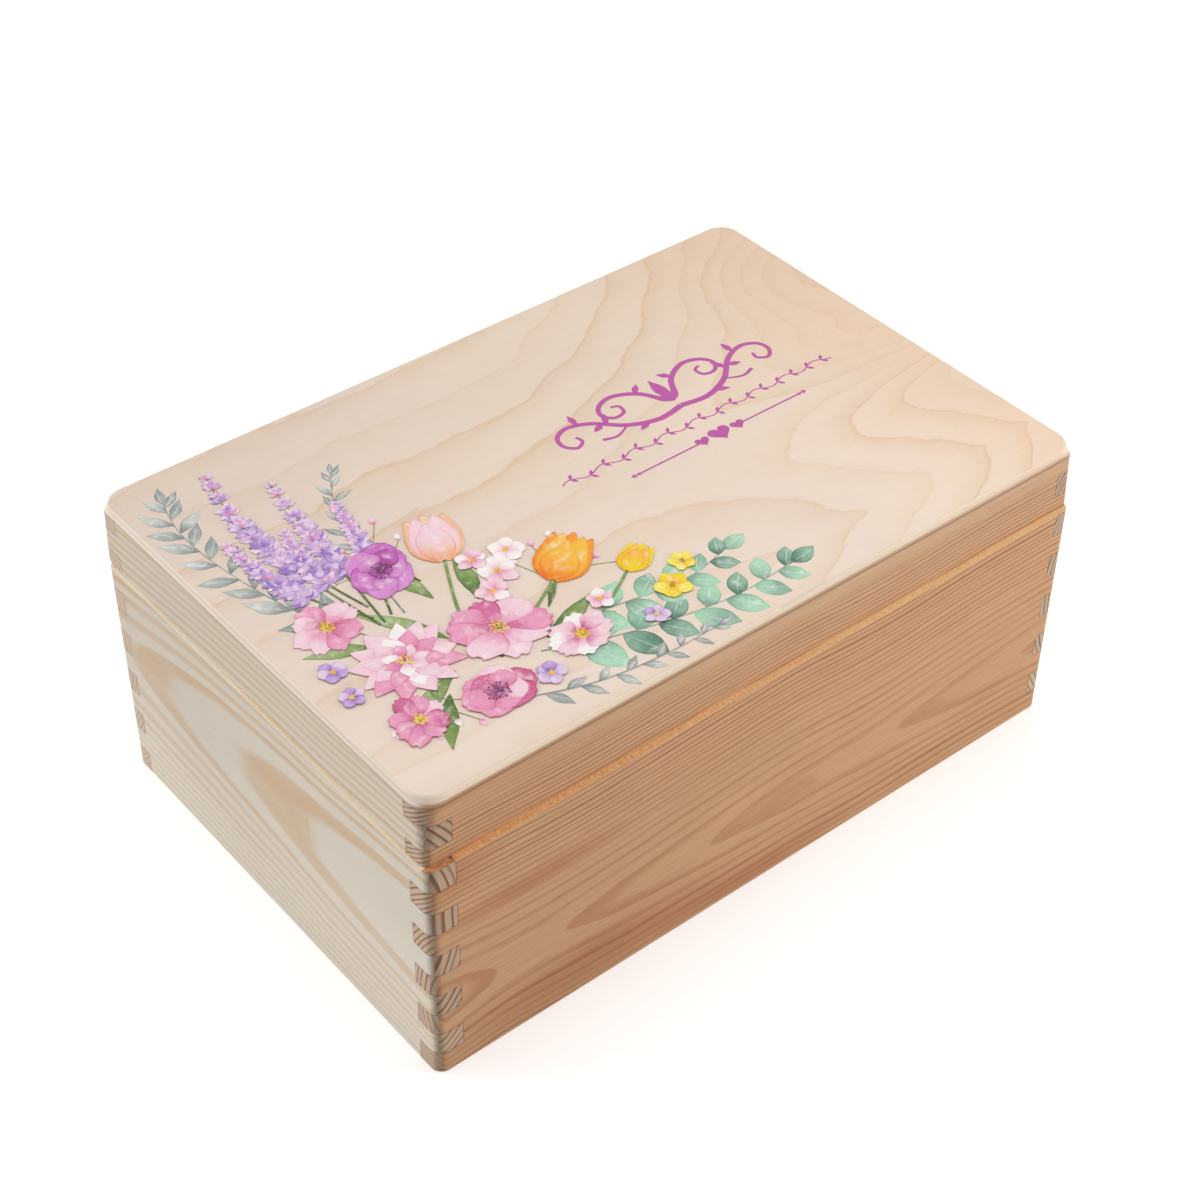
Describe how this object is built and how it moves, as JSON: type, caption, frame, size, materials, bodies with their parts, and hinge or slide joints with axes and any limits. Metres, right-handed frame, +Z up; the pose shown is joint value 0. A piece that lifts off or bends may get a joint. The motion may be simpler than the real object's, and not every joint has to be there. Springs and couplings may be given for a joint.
{
  "type": "keepsake box",
  "caption": "Hinged wooden keepsake box with finger-jointed corners, a plywood top and bottom, and a lid held by butt hinges.",
  "frame": {"origin": "middle of the underside, where the box stands", "axes": "+X along the box's length, +Y towards the hinged back, +Z up"},
  "size_m": [0.3, 0.2, 0.13],
  "materials": {
    "pine": "sanded, unfinished pine",
    "birch_plywood": "sanded, unfinished birch plywood",
    "hinge_brass": "satin",
    "screw_steel": "zinc plated"
  },
  "bodies": {
    "base": {"base_front_board": "pine", "base_back_board": "pine", "base_left_board": "pine", "base_right_board": "pine", "base_bottom_panel": "birch_plywood", "left_hinge_base_leaf": "hinge_brass", "left_hinge_base_screws": "screw_steel", "left_hinge_pin": "hinge_brass", "right_hinge_base_leaf": "hinge_brass", "right_hinge_base_screws": "screw_steel", "right_hinge_pin": "hinge_brass"},
    "lid": {"lid_front_board": "pine", "lid_back_board": "pine", "lid_left_board": "pine", "lid_right_board": "pine", "lid_top_panel": "birch_plywood", "left_hinge_lid_leaf": "hinge_brass", "left_hinge_lid_screws": "screw_steel", "right_hinge_lid_leaf": "hinge_brass", "right_hinge_lid_screws": "screw_steel"}
  },
  "joints": [
    {"name": "lid_hinge", "type": "hinge", "parent": "base", "child": "lid", "pos_m": [0, 0.097, 0.101], "axis": [-1, 0, 0], "range_deg": [0, 100]}
  ]
}
